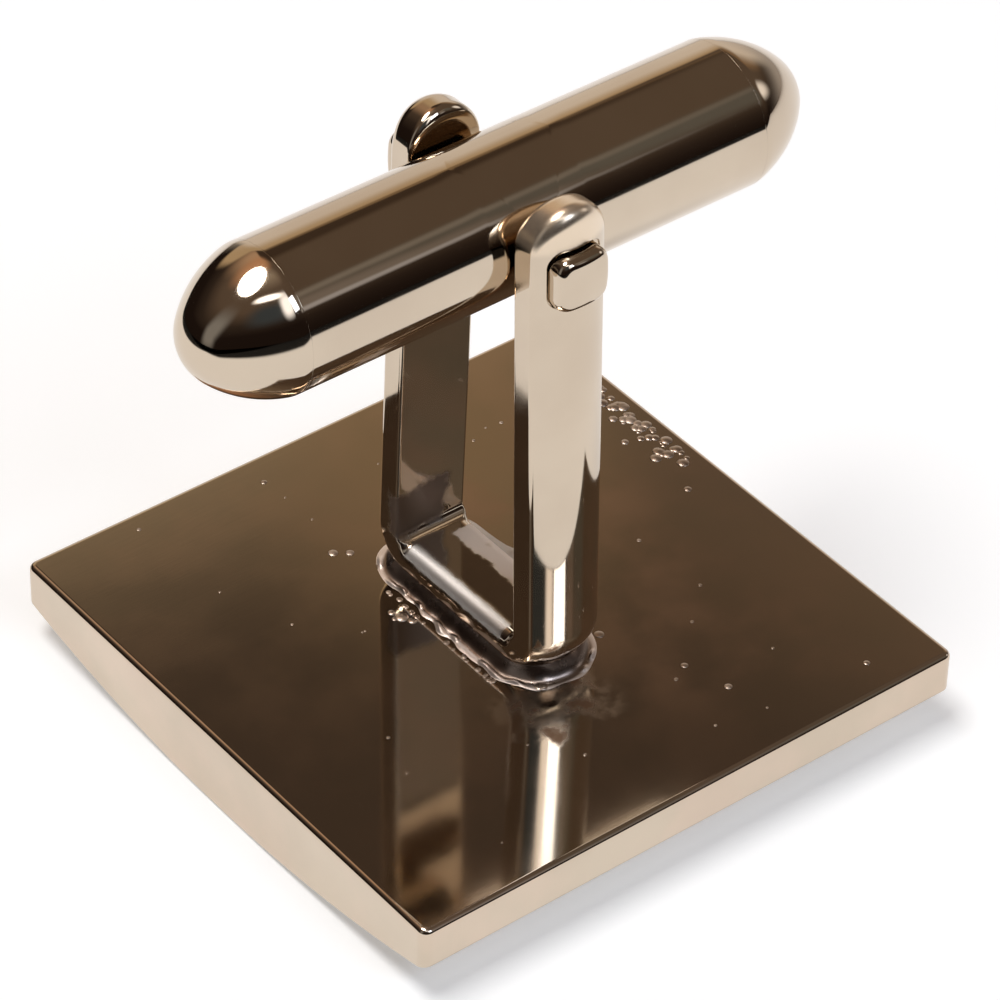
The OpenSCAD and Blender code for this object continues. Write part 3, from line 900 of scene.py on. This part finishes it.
def plating(name, tint_a, tint_b, gloss, wave_mm, scratch_mm, along, places=(), slope=(0, 0, 0)):
    """Metal of two close tints; gloss gives its least and most roughness.

    wave_mm and scratch_mm are the heights of the buff's waves and of the scratches, and
    along stretches the scratches. places lists (mask, colour, roughness, metallic) of other
    looks, each shown where its mask(tree, where) is 1. slope leans the whole surface.
    """
    made = bpy.data.materials.new(name)
    made.use_nodes = True
    tree = made.node_tree
    shader = tree.nodes["Principled BSDF"]
    where = node(tree, "ShaderNodeTexCoord").outputs["Object"]
    tint = mix(tree, fade(tree, noise(tree, where, CLOUDS, 4.0), 0.35, 0.65), tint_a, tint_b)
    rough = fade(tree, noise(tree, where, DULL_SPOTS, 6.0), 0.3, 0.7, *gloss)
    stretched = node(tree, "ShaderNodeMapping", {"Vector": where, "Scale": along}).outputs["Vector"]
    lines = noise(tree, stretched, SCRATCHES, 3.0)
    buff = noise(tree, where, WAVES, 1.0)
    leaning = node(tree, "ShaderNodeBump", {"Height": dot(tree, where, slope), "Distance": 1.0})
    wavy = node(tree, "ShaderNodeBump", {"Height": buff, "Distance": wave_mm * MM,
                                         "Normal": leaning.outputs["Normal"]})
    scratched = node(tree, "ShaderNodeBump", {"Height": lines, "Distance": scratch_mm * MM,
                                              "Normal": wavy.outputs["Normal"]})
    metal = shader.inputs["Metallic"].default_value = 1.0
    for mask, colour, roughness, metallic in places:
        share = mask(tree, where)
        tint = mix(tree, share, tint, colour)
        rough = calc(tree, "MULTIPLY_ADD", share, calc(tree, "SUBTRACT", roughness, rough), rough)
        metal = calc(tree, "MULTIPLY_ADD", share, calc(tree, "SUBTRACT", metallic, metal), metal)
    if places:
        tree.links.new(metal, shader.inputs["Metallic"])
    tree.links.new(tint, shader.inputs["Base Color"])
    tree.links.new(rough, shader.inputs["Roughness"])
    tree.links.new(scratched.outputs["Normal"], shader.inputs["Normal"])
    return made


# %% [markdown]
# ## Marks on the metal
# Flux, solder and the file have left marks: a haze, a spill, a smear, a filed tip, and there is a
# dark dull patch low in the far arm's bend. Other masks hold painted light: a painted highlight
# along the foot's inner edge, a painted pale reflection on the filed tip, and a greyer tint that
# sets the colour of the plate back's reflections. They could be painted on an image, but the part
# must not depend on one. So each mark is a mask: a box in millimetres on Object coordinates, with
# soft and ragged borders, and broken up by noise where the mark is patchy.

# %% Masks
RAGGED, BACK_LAYER, HEM_FROM, HEM_TO = 1800.0, (BACK_Z - 0.06, BACK_Z + 1), 1.44, 1.54


def within(tree, where, x=None, y=None, z=None, soft=0.15, ragged=0.0):
    """1 inside a box given in millimetres by its ranges, with soft and ragged borders."""
    share = 1.0
    bits = noise(tree, where, RAGGED, 3.0)
    shift = calc(tree, "MULTIPLY_ADD", bits, 2 * ragged * MM, -ragged * MM)
    split = node(tree, "ShaderNodeSeparateXYZ", {"Vector": where}).outputs
    for axis, limits in zip("XYZ", (x, y, z)):
        if limits:
            value = calc(tree, "ADD", split[axis], shift)
            for limit, ends in zip(limits, ((0, 1), (1, 0))):
                edge = fade(tree, value, (limit - soft) * MM, (limit + soft) * MM, *ends)
                share = calc(tree, "MULTIPLY", share, edge)
    return share


def back_reflection_tint(tree, where):
    """The flat back of the plate, the same nickel as its walls but tinted greyer: painted colour of
    its reflections.
    """
    return within(tree, where, z=BACK_LAYER, soft=0.03)


def haze(tree, where):
    """Reddish clouds of flux on the back, mostly to the right of the stirrup."""
    cloud = fade(tree, noise(tree, where, 380.0, 6.0), 0.38, 0.68)
    near = within(tree, where, x=(1.0, 6.5), y=(-6.5, 5.5), z=BACK_LAYER, soft=1.2)
    spread = calc(tree, "MULTIPLY_ADD", near, 0.75, 0.25)
    return calc(tree, "MULTIPLY", calc(tree, "MULTIPLY", cloud, spread), 0.7)


def painted_foot_highlight(tree, where):
    """A painted highlight: a white band of bright, rough metal along the inner edge of the foot on
    the left.
    """
    return within(tree, where, x=(-2, -0.7), y=(-2.0, 2.2), z=(BACK_Z + 0.86, BACK_Z + 1.9),
                  soft=0.1, ragged=0.1)


def filed_tip_and_sheen(tree, where):
    """The rounded tip of the near arm, filed and left less shiny than the rest, and tinted paler as
    a painted pale reflection.
    """
    return within(tree, where, y=(-5, -1), z=(PIVOT_Z + 0.95, PIVOT_Z + 3), soft=0.15)


def smear(tree, where):
    """Solder that has run over the foot's right half and dried matt."""
    return within(tree, where, x=(0.3, 2), y=(-0.9, 1.95), z=(BACK_Z + 0.9, BACK_Z + 1.3),
                  soft=0.08, ragged=0.25)


def far_bend_dark(tree, where):
    """Dull dark metal on the far arm's inner face and bend, low on the left."""
    return within(tree, where, x=(-1.6, 0.5), y=(2.1, 2.85), z=(BACK_Z + 1.3, BACK_Z + 2.8),
                  soft=0.15, ragged=0.4)


def spill(tree, where):
    """A patchy brown spill of flux on the plate, in front of the near bend."""
    cloud = fade(tree, noise(tree, where, 700.0, 6.0), 0.36, 0.56, 0.25, 1.0)
    area = within(tree, where, x=(-2.4, 0.6), y=(-5.2, -3.2), z=BACK_LAYER, soft=0.3, ragged=0.8)
    return calc(tree, "MULTIPLY", area, cloud)


def run_out(tree, where):
    """The solder's matt run-out on the right."""
    return within(tree, where, x=(1.15, 3), y=(0.3, 3.2), z=(BACK_Z - 1, BACK_Z + 0.3),
                  soft=0.1, ragged=0.3)


def hem_line(tree, where):
    """The solder's thin pale hem: all that lies past HEM_FROM from the foot's middle line."""
    split = node(tree, "ShaderNodeSeparateXYZ", {"Vector": where}).outputs
    past = calc(tree, "SUBTRACT", calc(tree, "ABSOLUTE", split["Y"]), BEND_Y * MM)
    past = calc(tree, "MAXIMUM", past, 0)
    square = calc(tree, "MULTIPLY_ADD", split["X"], split["X"], calc(tree, "MULTIPLY", past, past))
    return fade(tree, calc(tree, "SQRT", square), HEM_FROM * MM, HEM_TO * MM)


# %% [markdown]
# ## Finishes on the pieces
# Plate, stirrup and toggle share one nickel, but each was polished along its own way, and the
# plate's back is tinted greyer as painted colour of its reflections. The solder and its beads are
# dull tin, the solder tinted dark as painted shade in its hollow fillet, and the springs are bare
# steel. The real plate isn't quite square to the stirrup: the mirror image of the toggle lies a
# little too near the camera for that. Tilting the plate would move its outline, so only its
# reflections lean, by BACK_LEAN and away from the camera.

# %% Finishes
BACK_LEAN, AWAY = math.radians(1.0), 39
NICKEL = (0.63, 0.532, 0.418), (0.59, 0.492, 0.384)
# The back's greyer tint is painted colour of its reflections, not another metal
PLATE_MARKS = [(back_reflection_tint, (0.61, 0.545, 0.465), 0.07, 1.0), (haze, (0.84, 0.61, 0.50), 0.2, 1.0),
               (spill, (0.23, 0.145, 0.095), 0.35, 0.9)]
# The foot's near-white band below is a painted highlight
FRAME_MARKS = [(painted_foot_highlight, (1.0, 0.98, 0.96), 0.45, 1.0), (smear, (0.93, 0.80, 0.70), 0.55, 0.1),
               # The tip's paler tint here is a painted pale reflection
               (far_bend_dark, (0.22, 0.175, 0.15), 0.4, 1.0), (filed_tip_and_sheen, (0.84, 0.70, 0.54), 0.27, 0.9)]
SOLDER_MARKS = [(hem_line, (0.84, 0.74, 0.68), 0.4, 0.8), (run_out, (0.55, 0.48, 0.41), 0.6, 0.1)]
plate_nickel = plating("plate_nickel", *NICKEL, (0.05, 0.09), 0.0012, 0.00012, (1.0, 12.0, 1.0),
                       PLATE_MARKS, -math.tan(BACK_LEAN) * compass(AWAY, 0))
frame_nickel = plating("frame_nickel", *NICKEL, (0.05, 0.08), 0.001, 0.0001, (12.0, 12.0, 1.0),
                       FRAME_MARKS)
toggle_nickel = plating("toggle_nickel", *NICKEL, (0.05, 0.08), 0.001, 0.0001, (1.0, 12.0, 12.0))
# The solder's dark tints are painted shade in its hollow fillet; the hem mask gives back a paler
# tint
solder_tin_shaded = plating("solder_tin_shaded", (0.36, 0.29, 0.25), (0.24, 0.19, 0.165), (0.2, 0.35), 0.003,
                     0.0001, (1, 1, 1), SOLDER_MARKS)
bead_tin = plating("bead_tin", (0.58, 0.49, 0.42), (0.42, 0.34, 0.28), (0.25, 0.45), 0.0006,
                   0.0001, (1, 1, 1))
spring_steel = plating("spring_steel", (0.5, 0.5, 0.5), (0.45, 0.45, 0.46), (0.25, 0.35), 0.0004,
                       0.0004, (1.0, 20.0, 1.0))
for finish, pieces in ((plate_nickel, (plate,)), (frame_nickel, (stirrup, pin)),
                       (toggle_nickel, (barrel, cap_left, cap_right)),
                       (solder_tin_shaded, (solder,)), (bead_tin, (bead_piece,))):
    for made in pieces:
        made.data.materials.append(finish)
    print(finish.name, "on", [made.name for made in pieces])
for name in ("leaf_spring_upper", "leaf_spring_lower"):
    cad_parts[name].data.materials.clear()
    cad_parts[name].data.materials.append(spring_steel)


# %% [markdown]
# ## The last lines
# The Standard view transform keeps the paper white and the colours as the lamps give them, where
# Filmic or AgX would turn them greyer.

# %% Finish
bpy.context.scene.view_settings.view_transform = "Standard"
